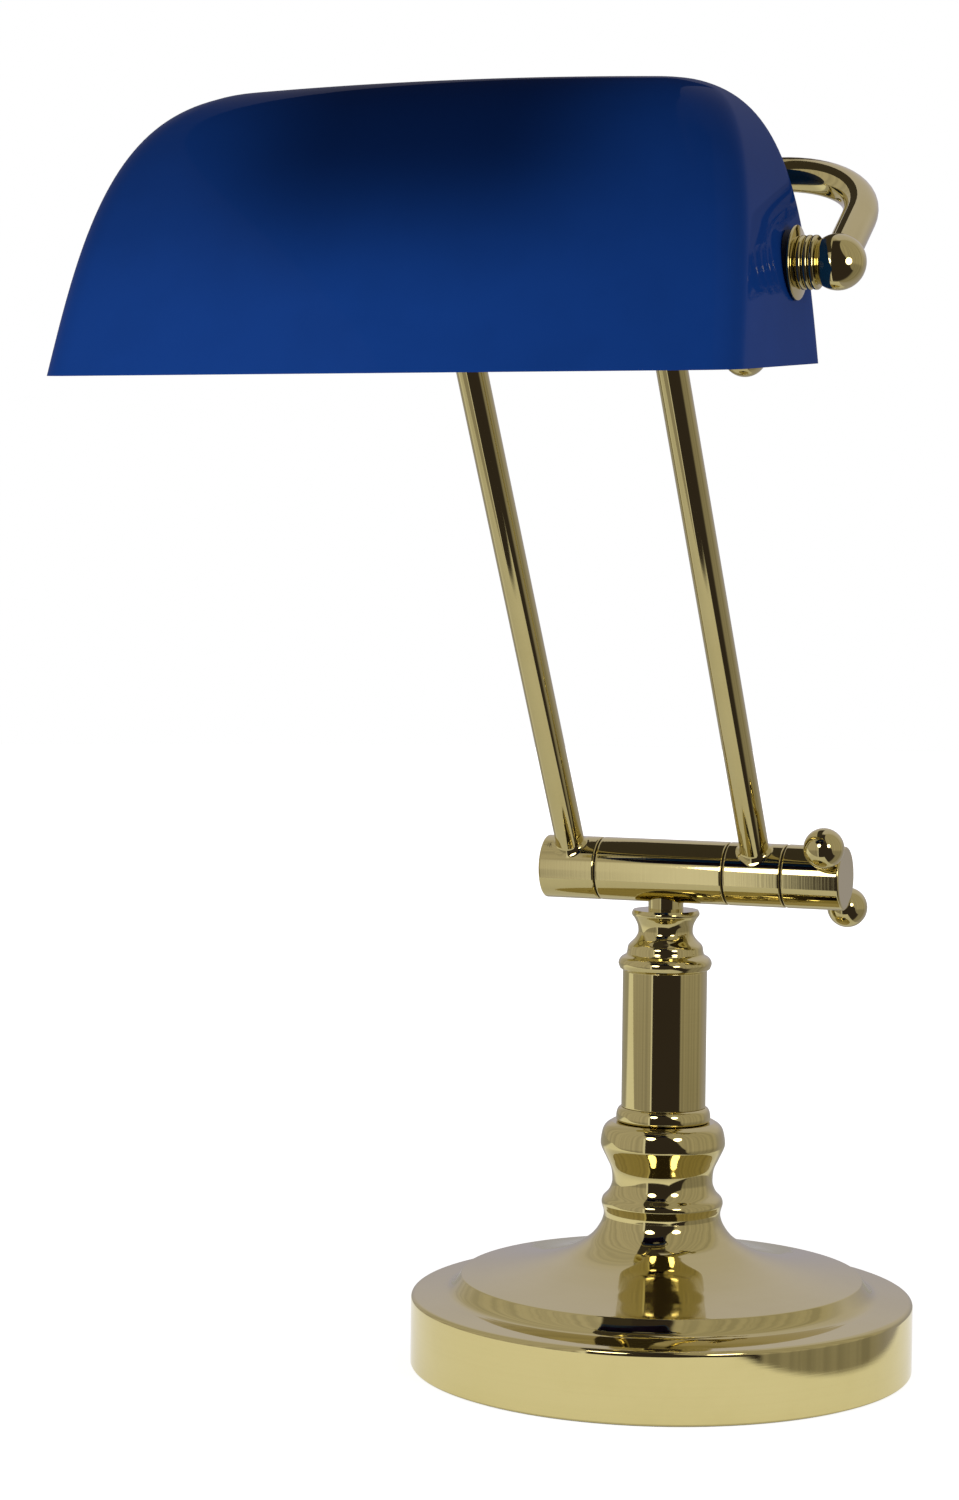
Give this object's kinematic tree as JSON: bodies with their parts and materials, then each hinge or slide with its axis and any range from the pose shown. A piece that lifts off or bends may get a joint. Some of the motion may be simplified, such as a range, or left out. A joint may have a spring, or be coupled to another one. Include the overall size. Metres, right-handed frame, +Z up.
{
  "type": "bankers lamp",
  "caption": "Table lamp with a round brass base, turned column, tilting twin arms with clamp knobs, and a blue glass shade tilting in a tube yoke.",
  "frame": {"origin": "centre of the underside of the base, on the surface that the lamp stands on", "axes": "+Z up, +X along both pivot barrels towards the clamp knobs, -Y towards the front, where the arms lean and the shade hangs"},
  "size_m": [0.2652, 0.3966, 0.4598],
  "materials": {
    "polished_brass": "polished",
    "blue_glass": "gloss",
    "opal_glass": "satin",
    "cast_iron": "rough",
    "felt": "matte",
    "steel": "plated",
    "fibre": "matte",
    "rubber": "matte",
    "brown_plastic": "gloss",
    "porcelain": "glazed"
  },
  "bodies": {
    "stand": {"base_cover": "polished_brass", "base_weight": "cast_iron", "base_felt": "felt", "base_washer": "steel", "base_nut": "steel", "centre_pipe": "steel", "cord_bushing": "brown_plastic", "stem_baluster": "polished_brass", "stem_collar": "polished_brass", "column_tube": "polished_brass", "column_cap": "polished_brass", "neck_spacer": "polished_brass", "lower_hub": "polished_brass"},
    "arm_frame": {"lower_left_collar": "polished_brass", "lower_right_collar": "polished_brass", "upper_left_collar": "polished_brass", "upper_right_collar": "polished_brass", "left_arm": "polished_brass", "right_arm": "polished_brass", "lower_bolt": "steel", "upper_bolt": "steel", "lower_washers": "fibre", "upper_washers": "fibre"},
    "lower_clamp": {"lower_knob": "polished_brass", "lower_knob_bar": "polished_brass", "lower_knob_balls": "polished_brass"},
    "upper_clamp": {"upper_knob": "polished_brass", "upper_knob_bar": "polished_brass", "upper_knob_balls": "polished_brass"},
    "head": {"upper_hub": "polished_brass", "yoke_post": "polished_brass", "yoke_tube": "polished_brass", "left_yoke_ball": "polished_brass", "right_yoke_ball": "polished_brass", "left_ring_nut": "polished_brass", "right_ring_nut": "polished_brass", "left_flange": "polished_brass", "right_flange": "polished_brass", "left_nipple": "steel", "right_nipple": "steel", "inner_washers": "steel", "lock_nuts": "steel", "lampholder_shell": "brown_plastic", "lampholder_core": "porcelain", "bulb_cap": "steel", "bulb_glass": "opal_glass"},
    "shade": {"glass_shade": "blue_glass", "outer_gaskets": "rubber", "inner_gaskets": "rubber"}
  },
  "joints": [
    {"name": "arm_tilt", "type": "hinge", "parent": "stand", "child": "arm_frame", "pos_m": [0, 0, 0.19035], "axis": [1, 0, 0], "range_deg": [-30, 40]},
    {"name": "lower_clamp_turn", "type": "hinge", "parent": "arm_frame", "child": "lower_clamp", "pos_m": [0, 0, 0.19035], "axis": [1, 0, 0], "range_deg": [0, 270]},
    {"name": "upper_clamp_turn", "type": "hinge", "parent": "arm_frame", "child": "upper_clamp", "pos_m": [0, -0.13415, 0.40012], "axis": [1, 0, 0], "range_deg": [0, 270]},
    {"name": "head_tilt", "type": "hinge", "parent": "arm_frame", "child": "head", "pos_m": [0, -0.13415, 0.40012], "axis": [1, 0, 0], "range_deg": [-45, 45]},
    {"name": "shade_tilt", "type": "hinge", "parent": "head", "child": "shade", "pos_m": [0, -0.23043, 0.40004], "axis": [1, 0, 0], "range_deg": [-30, 45]}
  ]
}
